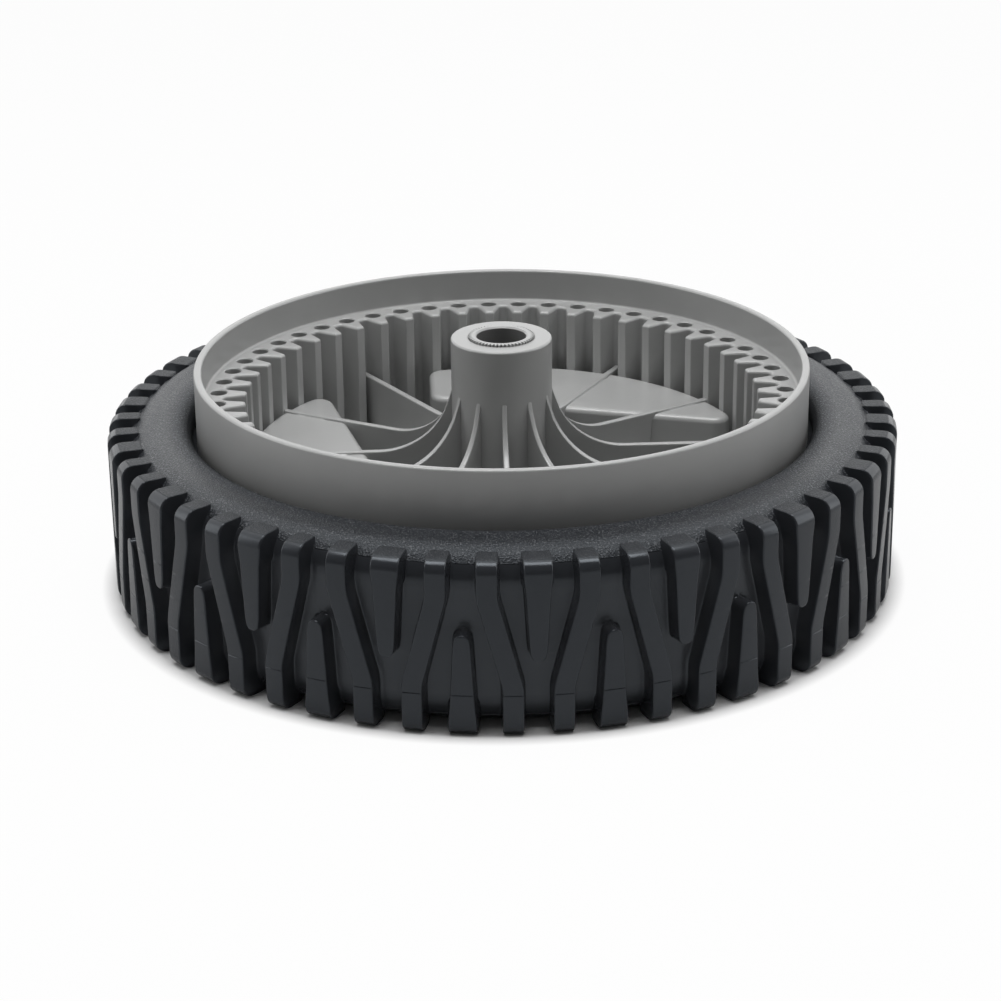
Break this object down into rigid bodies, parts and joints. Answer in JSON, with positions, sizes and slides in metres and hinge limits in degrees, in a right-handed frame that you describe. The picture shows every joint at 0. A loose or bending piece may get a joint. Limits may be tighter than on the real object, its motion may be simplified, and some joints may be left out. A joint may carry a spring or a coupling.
{
  "type": "lawn mower wheel",
  "caption": "Rear drive wheel of a walk-behind lawn mower: lugged rubber tyre on a ribbed plastic hub with an internal ring gear and a bushed axle bore.",
  "frame": {"origin": "on the axle, in the plane of the wheel's outer face, on which it lies", "axes": "+Z along the axle, from the wheel's outer face towards the machine; X and Y in the wheel's plane"},
  "size_m": [0.2032, 0.2032, 0.0637],
  "materials": {
    "tyre_rubber": "semi-gloss moulded rubber",
    "hub_plastic": "satin moulded plastic",
    "bush_plastic": "satin moulded plastic"
  },
  "bodies": {
    "root": {"tyre": "tyre_rubber", "hub": "hub_plastic", "axle_bush": "bush_plastic"}
  },
  "joints": []
}
